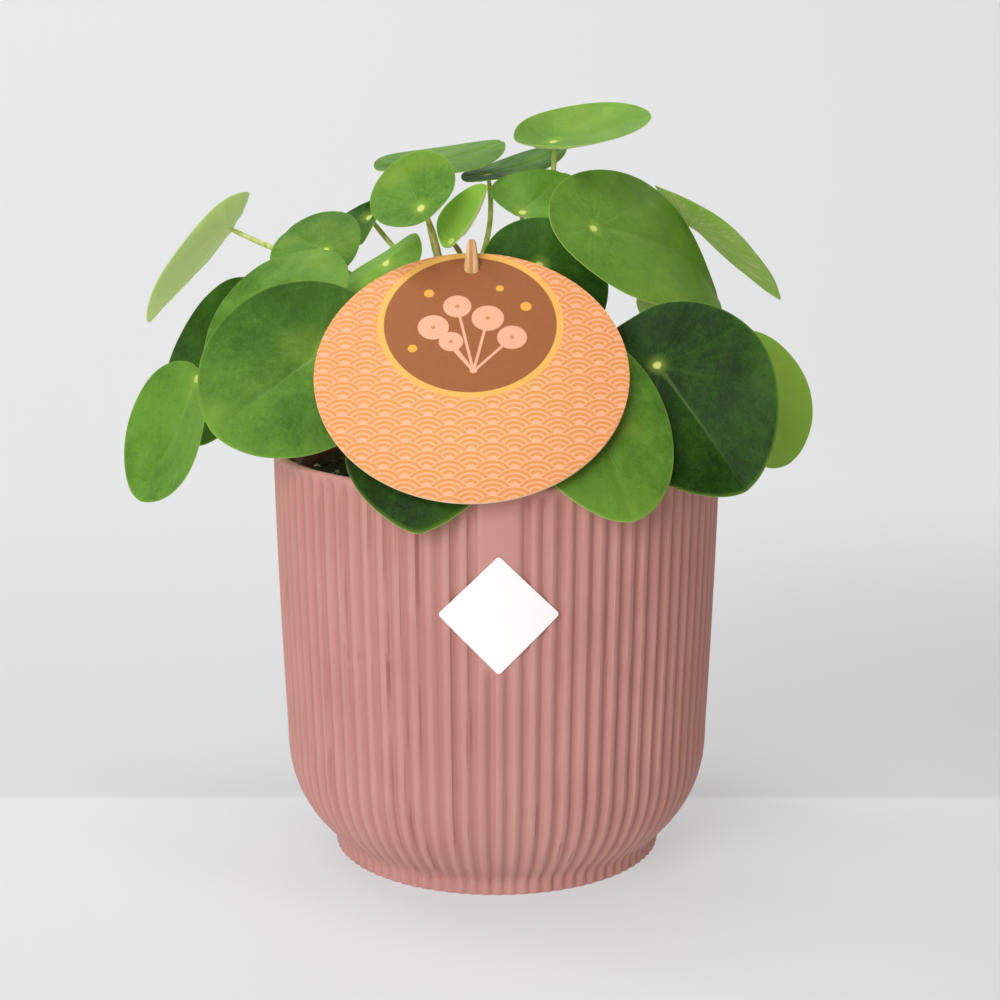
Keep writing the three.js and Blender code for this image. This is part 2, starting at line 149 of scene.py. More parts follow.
class Wire:
    """A number or colour inside a material. Sums on wires add the nodes that work them out."""

    def __init__(self, paint, socket):
        self.paint = paint
        self.socket = socket

    def math(self, operation, *others):
        return self.paint.add("Math", {"operation": operation}, dict(enumerate((self, *others))))

    def __add__(self, other):
        return self.math("ADD", other)

    def __sub__(self, other):
        return self.math("SUBTRACT", other)

    def __mul__(self, other):
        return self.math("MULTIPLY", other)

    def __truediv__(self, other):
        return self.math("DIVIDE", other)

    def __pow__(self, other):
        return self.math("POWER", other)

    def __neg__(self):
        return self.math("MULTIPLY", -1.0)

    __radd__ = __add__
    __rmul__ = __mul__

    def __rsub__(self, other):
        return (-self) + other

    def size(self):
        return self.math("ABSOLUTE")

    def least(self, other):
        return self.math("MINIMUM", other)

    def most(self, other):
        return self.math("MAXIMUM", other)

    def ramp(self, low, high, first=0.0, last=1.0):
        """Runs softly from first to last as this wire goes from low to high."""
        settings = {"interpolation_type": "SMOOTHSTEP", "clamp": True}
        return self.paint.add(
            "MapRange", settings, {0: self, 1: low, 2: high, 3: first, 4: last}
        )


class Paint:
    """A finish: one material, its surface node, and the ways to add nodes to it."""

    def __init__(self, name):
        self.material = bpy.data.materials.new(name)
        self.material.use_nodes = True
        self.nodes = self.material.node_tree.nodes
        self.links = self.material.node_tree.links
        self.surface = next(n for n in self.nodes if n.type == "BSDF_PRINCIPLED")

    def join(self, value, socket):
        if isinstance(value, Wire):
            self.links.new(value.socket, socket)
        elif isinstance(value, tuple) and len(value) == 3 and socket.type == "RGBA":
            socket.default_value = (*value, 1.0)
        else:
            socket.default_value = value

    def add(self, kind, settings=None, inputs=None, output=0):
        node = self.nodes.new("ShaderNode" + kind)
        for key, value in (settings or {}).items():
            setattr(node, key, value)
        for key, value in (inputs or {}).items():
            self.join(value, node.inputs[key])
        return Wire(self, node.outputs[output])

    def mix(self, share, first, second):
        """The first colour where the share is 0, and the second where it is 1."""
        settings = {"data_type": "RGBA", "clamp_factor": True}
        return self.add("Mix", settings, {0: share, 6: first, 7: second}, output=2)

    def place(self):
        return self.add("TexCoord", output="Object")

    def stretched(self, place, scale):
        return self.add("Mapping", {}, {"Vector": place, "Scale": scale})

    def axis(self, vector, output):
        return self.add("SeparateXYZ", {}, {0: vector}, output)

    def grain(self, place, scale, detail=3.0, rough=0.55):
        """Noise of about the given number of blotches a metre."""
        return self.add(
            "TexNoise", {"normalize": True},
            {"Vector": place, "Scale": scale, "Detail": detail, "Roughness": rough},
        )

    def set(self, **values):
        for key, value in values.items():
            self.join(value, self.surface.inputs[key.replace("_", " ")])

    def bump(self, height, depth, strength=1.0):
        """Raises the surface by height (0 to 1) times depth metres."""
        self.set(Normal=self.add(
            "Bump", {}, {"Height": height, "Distance": depth, "Strength": strength}, "Normal"
        ))


def sRGB(code):
    """A colour written as six hexadecimal digits, as linear red, green and blue."""
    levels = [int(code[i:i + 2], 16) / 255 for i in (0, 2, 4)]
    return tuple(c / 12.92 if c <= 0.04045 else ((c + 0.055) / 1.055) ** 2.4 for c in levels)


def wear(piece, paint):
    piece.data.materials.clear()
    piece.data.materials.append(paint.material)
    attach(piece, "root")


POT_HEIGHT = 130 * MM
RIM_RADIUS = 70 * MM
BELLY_RADIUS = 67.4 * MM
BELLY_HEIGHT = 41 * MM
FOOT_RADIUS = 52.4 * MM
FOOT_HEIGHT = 5.2 * MM
BELLY_ROUND = 2.7
FLARE_ROUND = 1.5
SOFT_FROM = 1.2 * MM
SOFT_TO = 11 * MM
SOFT_STEP = 0.45 * MM
POT_WALL = 2.4 * MM
POT_FLOOR = 4 * MM
RIBS = 85
POINTS_A_RIB = 10
GROOVE_DEPTH = 1.1 * MM
GROOVE_ROUND = 2.8
GROOVES_FROM = 8 * MM
GROOVES_TO = 128.8 * MM
FIRST_GROOVE = math.radians(-5.7 - 90)
PANEL_RIBS = 3
PANEL_BOTTOM = 78 * MM
PANEL_EDGE = 4 * MM


def crest_radius(z):
    """Out to the crests of the ribs at a height: the soft foot, the belly, the slight flare."""
    if SOFT_FROM < z < SOFT_TO:
        near = [sharp_radius(z + step * SOFT_STEP) for step in range(-4, 5)]
        return sum(near) / len(near)
    return sharp_radius(z)


def sharp_radius(z):
    """The same outline with a hard corner where the belly stands on the foot."""
    if z <= FOOT_HEIGHT:
        return FOOT_RADIUS
    if z < BELLY_HEIGHT:
        rise = (z - FOOT_HEIGHT) / (BELLY_HEIGHT - FOOT_HEIGHT)
        return BELLY_RADIUS - (BELLY_RADIUS - FOOT_RADIUS) * (1 - rise) ** BELLY_ROUND
    rise = (z - BELLY_HEIGHT) / (POT_HEIGHT - BELLY_HEIGHT)
    return BELLY_RADIUS + (RIM_RADIUS - BELLY_RADIUS) * (1 - (1 - rise) ** FLARE_ROUND)


def pot_profile():
    """Rings from under the foot, up the outside, over the lip and down the inside to the floor."""
    outside = [(40 * MM, 1.2 * MM), (46 * MM, 1.2 * MM), (47 * MM, 0), (51.7 * MM, 0)]
    outside += [(52.2 * MM, 0.25 * MM), (FOOT_RADIUS, 0.8 * MM), (FOOT_RADIUS, 2 * MM)]
    heights = [3, 4, 4.8, 5.5, 6.2, 7, 8, 9.2, 10.6, 12.5, 15, 18, 21.5, 25.5, 30, 35, 41, 48, 55]
    heights += [61, 67, 71, 74, 76, 78, 80, 87, 96, 105, 114, 121, 124.5, 126, 127.2, 128.2]
    outside += [(crest_radius(z * MM), z * MM) for z in heights]
    lip = [(RIM_RADIUS, 129 * MM), (RIM_RADIUS - 0.15 * MM, 129.5 * MM)]
    lip += [(RIM_RADIUS - 0.5 * MM, 129.9 * MM), (RIM_RADIUS - 0.9 * MM, POT_HEIGHT)]
    lip += [(RIM_RADIUS - 1.8 * MM, POT_HEIGHT), (RIM_RADIUS - 2.3 * MM, 129.7 * MM)]
    lip += [(RIM_RADIUS - 2.6 * MM, 129.0 * MM)]
    inside = [(crest_radius(z * MM) - POT_WALL - 0.3 * MM, z * MM)
              for z in (126, 118, 105, 90, 75, 60, 48, 38, 30, 23, 17, 12, 9)]
    return outside + lip + inside + [(51.5 * MM, 5.8 * MM), (48 * MM, POT_FLOOR)]


def eased(way, length):
    """0 up to the start of a way, 1 from its length on, and evenly between them."""
    return min(1.0, max(0.0, way / length))


def groove_depth(co):
    """How deep the grooves are pressed at a point of the smooth wall, softer by rim and foot."""
    radius = math.hypot(co.x, co.y)
    outer = eased(radius - crest_radius(co.z) + 1.4 * MM, 0.6 * MM)
    rib, share = divmod(rib_point(co) / POINTS_A_RIB, 1)
    depth = GROOVE_DEPTH * abs(math.cos(math.pi * share)) ** GROOVE_ROUND
    side_rib = (rib + (1 if share > 0.5 else 0)) % RIBS
    if 0 < side_rib < PANEL_RIBS:
        depth *= 1 - 0.97 * eased(co.z - PANEL_BOTTOM + PANEL_EDGE, PANEL_EDGE)
    depth *= 0.12 + 0.88 * eased(GROOVES_TO - co.z, 2.6 * MM)
    depth *= 0.4 + 0.6 * eased(co.z, GROOVES_FROM)
    return depth * outer


def rib_point(co):
    """The number of a point of the wall, counted round from the first groove."""
    step = 2 * math.pi / (RIBS * POINTS_A_RIB)
    return round((math.atan2(co.y, co.x) % (2 * math.pi)) / step)


def pressed(co):
    """Where a point of the smooth wall goes once the grooves are in it."""
    radius = math.hypot(co.x, co.y) - groove_depth(co)
    angle = rib_point(co) * 2 * math.pi / (RIBS * POINTS_A_RIB) + FIRST_GROOVE
    return Vector((radius * math.cos(angle), radius * math.sin(angle), co.z))


cover_pot = thrown("cover_pot", pot_profile(), RIBS * POINTS_A_RIB)
grooves = [groove_depth(v.co) / GROOVE_DEPTH for v in cover_pot.data.vertices]
cover_pot.data.attributes.new("groove", "FLOAT", "POINT").data.foreach_set("value", grooves)
move_points(cover_pot, pressed)
smooth(cover_pot, 60)

pink = Paint("dusty_pink_plastic")
pot_place = pink.place()
pot_blotch = pink.grain(pot_place, 38.0, 4.0)
pot_fine = pink.grain(pot_place, 900.0, 2.0)
pot_mould = pink.grain(pink.stretched(pot_place, (1.0, 1.0, 0.12)), 420.0, 2.0)
pot_tone = pink.mix(pot_blotch.ramp(0.3, 0.7), sRGB("C48D85"), sRGB("CA958D"))
pot_tone = pink.mix(pot_mould.ramp(0.45, 0.75) * 0.2, pot_tone, sRGB("CF9A90"))
# The grooves are painted darker the deeper they are: a painted shade in the recesses.
groove_shade = pink.add("Attribute", {"attribute_name": "groove"}, output="Fac")
pot_tone = pink.mix(groove_shade * 0.4, pot_tone, sRGB("9E645A"))
pink.set(
    Base_Color=pot_tone,
    Roughness=0.46 + pot_blotch * 0.08 + pot_fine * 0.06,
    Specular_IOR_Level=0.3,
)
pink.bump(pot_fine, 0.03 * MM, 0.5)
wear(cover_pot, pink)
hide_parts("outer_pot")

# ---------------------------------------------------------------------------------------------
# Label. A thin white square of coated paper with round corners, stood on one corner and stuck
# over the crests of the ribs at the front. It is blank.

LABEL_SIDE = 25 * MM
LABEL_HEIGHT = 92.8 * MM
LABEL_X = 0.7 * MM
LABEL_THICK = 0.25 * MM
LABEL_CORNER = 1.0 * MM
LABEL_STRIP = 1.3 * MM
GLUE = 0.12 * MM
LOOSE_BY = 0.5 * MM
LOOSE_FROM = 11 * MM
LOOSE_LENGTH = 6 * MM

label = start_piece("pot_label", bpy.ops.mesh.primitive_plane_add, size=LABEL_SIDE)
edit(label)
bpy.ops.mesh.bevel(offset=LABEL_CORNER, segments=6, affect="VERTICES")
bpy.ops.transform.rotate(value=math.pi / 4, orient_axis="Z", center_override=(0, 0, 0))
for step in range(-13, 14):
    bpy.ops.mesh.select_all(action="SELECT")
    bpy.ops.mesh.bisect(plane_co=(step * LABEL_STRIP, 0, 0), plane_no=(1, 0, 0))
leave_edit()


def stick_on(co):
    """Wraps a flat sheet round the crests, with its lower corner a little loose."""
    z = LABEL_HEIGHT + co.y
    loose = LOOSE_BY * max(0.0, (-co.y - LOOSE_FROM) / LOOSE_LENGTH) ** 2
    radius = crest_radius(z) + GLUE + loose
    turn = (co.x + LABEL_X) / radius
    return Vector((radius * math.sin(turn), -radius * math.cos(turn), z))


move_points(label, stick_on)
finish_with(label, "SOLIDIFY", thickness=LABEL_THICK, offset=1.0)
edit(label)
bpy.ops.mesh.normals_make_consistent(inside=False)
leave_edit()
smooth(label, 30)

white = Paint("coated_paper")
paper_fibre = white.grain(white.place(), 1400.0, 4.0)
white.set(
    Base_Color=white.mix(paper_fibre, sRGB("FAFAF9"), sRGB("FFFFFF")),
    Roughness=0.4 + paper_fibre * 0.12,
    # The paper gives off a faint light of its own: a painted light that makes it read whiter.
    Emission_Color=(0.06, 0.06, 0.06),
    Emission_Strength=1.0,
)
white.bump(paper_fibre, 0.01 * MM, 0.5)
wear(label, white)
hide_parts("label")

# ---------------------------------------------------------------------------------------------
# Nursery pot. A thin, tapered pot of red-brown plastic with a rolled lip. It stands loose inside
# the cover pot, and only its lip shows, so the drain holes in its floor are left out here.

LINER_FOOT = 4.3 * MM
LINER_TOP = 125 * MM
LINER_SIDES = 120

liner_profile = [
    (40 * MM, LINER_FOOT), (43.6 * MM, LINER_FOOT), (44 * MM, 5 * MM), (61.8 * MM, 117.6 * MM),
    (62.4 * MM, 118 * MM), (63.4 * MM, 118.3 * MM), (64.3 * MM, 123.9 * MM), (64.1 * MM, 124.7 * MM),
    (63.6 * MM, LINER_TOP), (62.4 * MM, LINER_TOP), (61.9 * MM, 124.6 * MM), (61.7 * MM, 123.6 * MM),
    (60.6 * MM, 117 * MM), (43 * MM, 6.2 * MM), (42 * MM, 5.5 * MM),
]
nursery = thrown("nursery_liner", liner_profile, LINER_SIDES)
smooth(nursery, 50)

brown = Paint("nursery_plastic")
brown_place = brown.place()
scuff = brown.grain(brown.stretched(brown_place, (1, 1, 0.2)), 300.0)
dust = brown.grain(brown_place, 160.0, 5.0)
brown.set(
    Base_Color=brown.mix(dust.ramp(0.5, 0.75) * 0.5, sRGB("74301F"), sRGB("4A2C20")),
    Roughness=0.4 + scuff * 0.3,
)
brown.bump(scuff, 0.06 * MM)
wear(nursery, brown)
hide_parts("nursery_pot")

# ---------------------------------------------------------------------------------------------
# Soil. Dark, moist potting mix that fills the nursery pot to just under its lip, crumbly on top,
# with bits of bark and pale mineral grains lying in it. Only its upper part is made here.

SOIL_TOP = 121.5 * MM
SOIL_RADIUS = 60.2 * MM
SOIL_DEPTH = 20 * MM
SOIL_STRIP = 0.92 * MM
TRUNK_FOOT = Vector((-6 * MM, 4 * MM, 82 * MM))

# The surface is worked out in millimetres: the mound round the trunk, and how wide and how high
# each size of crumb is.
MOUND_HEIGHT = 2.5
MOUND_WIDTH = 30
CRUMB_SIZES = ((7.0, 0.9), (2.6, 0.75), (1.2, 0.5))


def soil_height(x, y):
    """The same low mounds as the solid, with crumbs of three sizes on them."""
    a, b = x / MM, y / MM
    lumps = math.sin(a * 0.31 + 1.3) * math.cos(b * 0.27) + 0.6 * math.sin(a * 0.13 - b * 0.22 + 2)
    from_trunk_foot = (a - TRUNK_FOOT.x / MM) ** 2 + (b - TRUNK_FOOT.y / MM) ** 2
    mound = MOUND_HEIGHT * math.exp(-from_trunk_foot / MOUND_WIDTH ** 2)
    crumbs = 0.0
    for size, height in CRUMB_SIZES:
        crumbs += height * noise.noise(Vector((a / size, b / size, size)))
    return SOIL_TOP + (1.2 * lumps + mound + crumbs - 0.4) * MM


soil = start_piece(
    "soil_fill", bpy.ops.mesh.primitive_circle_add,
    vertices=96, radius=SOIL_RADIUS, fill_type="NGON",
)
edit(soil)
for step in range(-66, 67):
    for normal in ((1, 0, 0), (0, 1, 0)):
        at = step * SOIL_STRIP
        bpy.ops.mesh.select_all(action="SELECT")
        bpy.ops.mesh.bisect(plane_co=(at, at, 0), plane_no=normal)
bpy.ops.mesh.select_all(action="SELECT")
bpy.ops.mesh.extrude_region_move(TRANSFORM_OT_translate={"value": (0, 0, -SOIL_DEPTH)})
bpy.ops.mesh.select_all(action="SELECT")
bpy.ops.mesh.normals_make_consistent(inside=False)
leave_edit()


def heap(co):
    """Lifts the flat top into mounds, and draws the underside in a little, as the pot tapers."""
    if co.z < -SOIL_DEPTH / 2:
        return Vector((co.x * 0.97, co.y * 0.97, SOIL_TOP - SOIL_DEPTH))
    return Vector((co.x, co.y, soil_height(co.x, co.y)))


move_points(soil, heap)
smooth(soil, 80)

earth = Paint("potting_mix")
earth_place = earth.place()
crumb = earth.grain(earth_place, 420.0, 6.0, 0.7)
fleck = earth.add("TexVoronoi", {"feature": "F1"}, {"Vector": earth_place, "Scale": 620.0})
earth_tone = earth.mix(crumb.ramp(0.35, 0.7), sRGB("100C0A"), sRGB("33261E"))
earth_tone = earth.mix(fleck.ramp(0.16, 0.08) * crumb.ramp(0.5, 0.62), earth_tone, sRGB("B7A48C"))
earth.set(Base_Color=earth_tone, Roughness=0.78 + crumb * 0.2)
earth.bump(crumb, 0.7 * MM)
wear(soil, earth)
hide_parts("soil")


CLEAR_OF_TRUNK = 6 * MM


def scattered(name, count, low, high, flat, seed):
    """Small faceted bits, strewn over the soil and sunk a little into it."""
    draw = random.Random(seed)
    first = start_piece(name, bpy.ops.mesh.primitive_ico_sphere_add, subdivisions=1, radius=1)
    shape = [v.co.copy() for v in first.data.vertices]
    bits = []
    for _ in range(count):
        away = SOIL_RADIUS * 0.96 * math.sqrt(draw.random())
        turn = draw.uniform(0, 2 * math.pi)
        x, y = away * math.cos(turn), away * math.sin(turn)
        if (Vector((x, y)) - TRUNK_FOOT.xy).length < CLEAR_OF_TRUNK:
            continue
        bit = first.copy()
        bit.data = first.data.copy()
        bpy.context.scene.collection.objects.link(bit)
        size = draw.uniform(low, high)
        spin = Matrix.Rotation(draw.uniform(0, 6), 3, "Z")
        spin = spin @ Matrix.Rotation(draw.gauss(0, 0.3), 3, "X")
        long, wide = draw.uniform(0.8, 1.7), draw.uniform(0.6, 1.1)
        stretch = Vector((long, wide, flat * draw.uniform(0.7, 1.2)))
        seat = Vector((x, y, soil_height(x, y) + size * flat * 0.25))
        for vertex, corner in zip(bit.data.vertices, shape):
            rough = corner * draw.uniform(0.75, 1.15) * size
            vertex.co = spin @ Vector(a * b for a, b in zip(rough, stretch)) + seat
        bits.append(bit)
    bpy.data.objects.remove(first)
    only(*bits)
    bpy.ops.object.join()
    joined = bpy.context.object
    joined.name = name
    return joined


bark = scattered("soil_bark", 420, 0.7 * MM, 1.9 * MM, 0.6, 5)
bark_paint = Paint("bark_bits")
bark_place = bark_paint.place()
fibre = bark_paint.grain(bark_paint.stretched(bark_place, (1, 3, 1)), 700.0, 4.0)
bark_paint.set(
    Base_Color=bark_paint.mix(
        bark_paint.grain(bark_place, 120.0).ramp(0.35, 0.65), sRGB("140E0B"), sRGB("4B3526")
    ),
    Roughness=0.7 + fibre * 0.25,
)
bark_paint.bump(fibre, 0.2 * MM)
wear(bark, bark_paint)

pale_grains = scattered("soil_grains", 300, 0.3 * MM, 0.9 * MM, 0.8, 9)
grain_paint = Paint("pale_mineral")
pores = grain_paint.grain(grain_paint.place(), 1800.0, 3.0)
grain_paint.set(
    Base_Color=grain_paint.mix(pores, sRGB("BDB5A8"), sRGB("F2EFE8")), Roughness=0.8 + pores * 0.1
)
grain_paint.bump(pores, 0.1 * MM)
wear(pale_grains, grain_paint)

# ---------------------------------------------------------------------------------------------
# Trunk and leaf stalks. A short brown trunk with old leaf scars, and thin juicy green stalks that
# grow out of it all round, redder at the foot and yellower towards the blades.


SAME_POINT = 0.004 * MM


def copied_from(node, name):
    """A new piece with a CAD node's shape, its loose triangles merged into one skin."""
    piece = bpy.data.objects.new(name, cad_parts[node].data.copy())
    bpy.context.scene.collection.objects.link(piece)
    edit(piece)
    bpy.ops.mesh.customdata_custom_splitnormals_clear()
    bpy.ops.mesh.remove_doubles(threshold=SAME_POINT)
    leave_edit()
    return piece


# What the stalks lose in thickness when they are rounded, given back along their normals.
STALK_SWELL = 0.22 * MM

stem = copied_from("stem", "trunk_and_stalks")
edit(stem)
bpy.ops.mesh.tris_convert_to_quads(
    face_threshold=math.radians(60), shape_threshold=math.radians(100)
)
leave_edit()
finish_with(stem, "SUBSURF", levels=2, render_levels=2)
for vertex, normal in zip(stem.data.vertices, [v.normal.copy() for v in stem.data.vertices]):
    vertex.co += normal * STALK_SWELL
smooth(stem, 180)

TRUNK_HEAD = Vector((-13 * MM, 3 * MM, 166 * MM))
TRUNK_BOW = 1.5 * MM

bark_green = Paint("stalk_skin")
stem_place = bark_green.place()
stem_z = bark_green.axis(stem_place, "Z")
up_trunk = (stem_z - TRUNK_FOOT.z) / (TRUNK_HEAD.z - TRUNK_FOOT.z)
trunk_x = TRUNK_FOOT.x + up_trunk * (TRUNK_HEAD.x - TRUNK_FOOT.x) + TRUNK_BOW
off_x = bark_green.axis(stem_place, "X") - trunk_x
off_y = bark_green.axis(stem_place, "Y") - TRUNK_HEAD.y
from_trunk = (off_x * off_x + off_y * off_y) ** 0.5
on_trunk = from_trunk.ramp(10 * MM, 5.5 * MM) * stem_z.ramp(180 * MM, 160 * MM)
streak = bark_green.grain(bark_green.stretched(stem_place, (1, 1, 0.15)), 500.0, 4.0)
scars = bark_green.grain(bark_green.stretched(stem_place, (0.4, 0.4, 1.6)), 260.0, 3.0)
green = bark_green.mix(streak.ramp(0.35, 0.65), sRGB("A0B648"), sRGB("D0DA82"))
reddish = bark_green.mix(streak.ramp(0.3, 0.7), sRGB("7A4A2C"), sRGB("96663A"))
stalk_tone = bark_green.mix(from_trunk.ramp(22 * MM, 7 * MM) * 0.45, green, reddish)
woody = bark_green.mix(scars.ramp(0.35, 0.65), sRGB("4B3524"), sRGB("8A6E4E"))
bark_green.set(
    Base_Color=bark_green.mix(on_trunk, stalk_tone, woody),
    Roughness=0.38 + on_trunk * 0.4 + streak * 0.08,
)
bark_green.bump(scars * on_trunk + streak * 0.2, 0.5 * MM, 0.8)
wear(stem, bark_green)
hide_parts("stem")

# ---------------------------------------------------------------------------------------------
# Leaves. Nearly round, thin and fleshy blades, each carried on its stalk at a pale yellow spot
# some way in from the edge. The upper side is smooth and waxy with fine veins that fan out from
# the spot, the underside is paler, and the edge is a thin lighter line.

BLADE_THICK = 0.9 * MM
EDGE_THICK = 0.35 * MM
DIMPLE_DEPTH = 0.8 * MM
DIMPLE_WIDTH = 2.4 * MM
WAVE_HEIGHT = 0.4 * MM
WAVE_LENGTH = 17 * MM
PUCKER_HEIGHT = 0.42 * MM
PUCKER_LENGTH = 6 * MM
VEIN_DEPTH = 0.3 * MM
VEINS_ROUND = 9
MIDRIB_DEPTH = 0.4 * MM
MIDRIB_WIDTH = 1.8 * MM
RING_SHARES = (0.0, 0.36, 0.7, 1.0)
SAME_BEARING = math.cos(math.radians(5))
FLAT_SPAN = 200 * MM

# For each blade how light the upper side is, from 0 for an old, nearly black green to 1 for a
# young, yellow one, set also darker for blades in shade and lighter for lit ones as painted shade
# and light; then how much that grows across the blade, a painted light on its lit side, and towards
# which side, in degrees round from the tip.
LEAF_TONES = {
    "left_large": (0.36, 0.22, 30),
    "right_large": (0.08, 0.14, 60),
    "right_front": (0.5, 0.14, -60),
    "right_behind": (0.98, 0.1, 0),
    "right_upper": (0.56, 0.06, 0),
    "right_high": (0.14, 0.1, 0),
    "mid_right": (0.58, 0.08, 0),
    "centre_dark": (0.22, 0.1, 180),
    "top_right": (0.6, 0.08, 0),
    "top_mid": (0.36, 0.1, 0),
    "top_back": (0.52, 0.08, 90),
    "young_round": (0.5, 0.06, 0),
    "young_folded": (0.95, 0.1, 0),
    "left_mid": (0.42, 0.08, 90),
    "left_upper": (0.5, 0.08, 180),
    "left_behind": (0.22, 0.12, 0),
    "left_low": (0.6, 0.1, 180),
    "left_high": (1.15, 0.1, 0),
    "left_inner": (0.68, 0.08, 0),
    "centre_small": (0.3, 0.2, 0),
    "front_low": (0.06, 0.06, 0),
}
OTHER_TONE = (0.36, 0.12, 0)

# How much narrower a few of the blades are at the tip than an even oval.
LEAF_TAPERS = {
    "right_high": 0.55, "left_high": 0.3, "left_upper": 0.2, "right_upper": 0.12, "young_folded": 0.3
}


def ring_levels(piece):
    """How many rings each point lies from the stalk's spot, and which side of the blade it is on;
    and the spot itself, on the upper side and on the underside."""
    mesh = bmesh.new()
    mesh.from_mesh(piece.data)
    hubs = sorted(mesh.verts, key=lambda v: -len(v.link_edges))[:2]
    hubs.sort(key=lambda v: -v.co.z)
    level = {hub.index: (0, hub.index) for hub in hubs}
    front = list(hubs)
    while front:
        vertex = front.pop(0)
        rings, hub = level[vertex.index]
        for edge in vertex.link_edges:
            other = edge.other_vert(vertex)
            if other.index not in level:
                level[other.index] = (rings + 1, hub)
                front.append(other)
    levels = [level[i] for i in range(len(mesh.verts))]
    upper_hub = hubs[0].index
    upper, under = (hub.co.copy() for hub in hubs)
    mesh.free()
    return levels, upper_hub, upper, under


def blade_lift(x, y, share, upper, number):
    """How far a point of a blade is raised: the dimple at the spot, waves, puckers and veins."""
    wave = Vector((x, y, number * 30 * MM))
    angle = math.atan2(y, x)
    lift = (1 - upper) * (BLADE_THICK - EDGE_THICK) * max(0.0, share * 2 - 1) ** 2
    lift -= DIMPLE_DEPTH * math.exp(-(math.hypot(x, y) / DIMPLE_WIDTH) ** 2)
    lift += WAVE_HEIGHT * share * noise.noise(wave / WAVE_LENGTH)
    lift += PUCKER_HEIGHT * share * (1 - share ** 4) * noise.noise(wave / PUCKER_LENGTH)
    lift -= VEIN_DEPTH * share ** 2 * (1 - share) * 6 * abs(math.cos(angle * VEINS_ROUND / 2)) ** 6
    if x > 0:
        lift -= MIDRIB_DEPTH * min(1.0, share * 3) * math.exp(-(y / MIDRIB_WIDTH) ** 2)
    return lift


def grow_blade(node, number):
    """Turns a coarse blade into a fine one: rounder, thinner at its edge, dimpled and puckered."""
    piece = copied_from(node, node.replace("leaf_", "blade_"))
    levels, upper_hub, origin, under = ring_levels(piece)
    up = (origin - under).normalized()
    flat = [(v.co - origin) - up * (v.co - origin).dot(up) for v in piece.data.vertices]
    tip = max(flat, key=lambda r: r.length).normalized()
    length = max(r.length for r in flat)
    across = up.cross(tip)
    bearing = [Vector((r.dot(tip), r.dot(across))).normalized() for r in flat]
    shares = [RING_SHARES[ring] for ring, hub in levels]
    uppers = [1.0 if hub == upper_hub else 0.0 for ring, hub in levels]
    for name, values in (("share", shares), ("upper", uppers)):
        piece.data.attributes.new(name, "FLOAT", "POINT").data.foreach_set("value", values)

    def is_slant(edge):
        (a_ring, a_hub), (b_ring, b_hub) = (levels[v.index] for v in edge.verts)
        crosses = a_ring != b_ring or a_hub != b_hub
        from_a, from_b = (bearing[v.index] for v in edge.verts)
        return min(a_ring, b_ring) > 0 and crosses and from_a.dot(from_b) < SAME_BEARING

    def is_rim(edge):
        (a_ring, a_hub), (b_ring, b_hub) = (levels[v.index] for v in edge.verts)
        return a_ring == b_ring == len(RING_SHARES) - 1 and a_hub == b_hub

    edit(piece)
    pick(piece, "edges", is_slant)
    bpy.ops.mesh.dissolve_edges(use_verts=False)
    pick(piece, "edges", is_rim)
    bpy.ops.transform.edge_crease(value=0.7)
    leave_edit()
    finish_with(piece, "SUBSURF", levels=3, render_levels=3)
    mesh = piece.data
    shares, uppers = [0.0] * len(mesh.vertices), [0.0] * len(mesh.vertices)
    mesh.attributes["share"].data.foreach_get("value", shares)
    mesh.attributes["upper"].data.foreach_get("value", uppers)
    blade_name = node.replace("leaf_", "")
    tone, growth, side = LEAF_TONES.get(blade_name, OTHER_TONE)
    towards = (math.cos(math.radians(side)), math.sin(math.radians(side)))
    taper = LEAF_TAPERS.get(blade_name, 0.0)
    shape_points, flat_points, tones = [], [], []
    for vertex, share, upper in zip(mesh.vertices, shares, uppers):
        away = vertex.co - origin
        x, y = away.dot(tip), away.dot(across)
        angle = math.atan2(y, x)
        margin = noise.noise(Vector((math.cos(angle), math.sin(angle), number)) * 1.9)
        spread = (0.012 * margin - 0.005) * share ** 2
        narrow = taper * max(0.0, x / length) ** 2 * share
        vertex.co = origin + away + up * blade_lift(x, y, share, upper, number)
        vertex.co += (tip * x + across * y) * spread - across * (y * narrow)
        half_share = 0.5 * share / (math.hypot(x, y) + 1e-9)
        shape_points.append((0.5 + half_share * x, 0.5 + half_share * y))
        flat_points.append((0.5 + x / FLAT_SPAN, 0.5 + y / FLAT_SPAN))
        # The blade lightens towards one side: a painted light where the light falls on it.
        tones.append(tone + growth * (x * towards[0] + y * towards[1]) / length)
    for name, points in (("blade", shape_points), ("flat", flat_points)):
        uv_map = mesh.uv_layers.new(name=name)
        for loop in mesh.loops:
            uv_map.data[loop.index].uv = points[loop.vertex_index]
    mesh.attributes.new("tone", "FLOAT", "POINT").data.foreach_set("value", tones)
    smooth(piece, 75)
    return piece


waxy = Paint("leaf_skin")
spread_out = waxy.add("UVMap", {"uv_map": "blade"})
leaf_x = (waxy.axis(spread_out, "X") - 0.5) * 2.0
leaf_y = (waxy.axis(spread_out, "Y") - 0.5) * 2.0
leaf_out = (leaf_x * leaf_x + leaf_y * leaf_y) ** 0.5
leaf_tone = waxy.add("Attribute", {"attribute_name": "tone"}, output="Fac")
leaf_upper = waxy.add("Attribute", {"attribute_name": "upper"}, output="Fac")
laid_flat = waxy.add("UVMap", {"uv_map": "flat"})
from_spot_x = (waxy.axis(laid_flat, "X") - 0.5) * (FLAT_SPAN / MM)
from_spot_y = (waxy.axis(laid_flat, "Y") - 0.5) * (FLAT_SPAN / MM)
leaf_away = (from_spot_x * from_spot_x + from_spot_y * from_spot_y) ** 0.5
leaf_place = waxy.place()


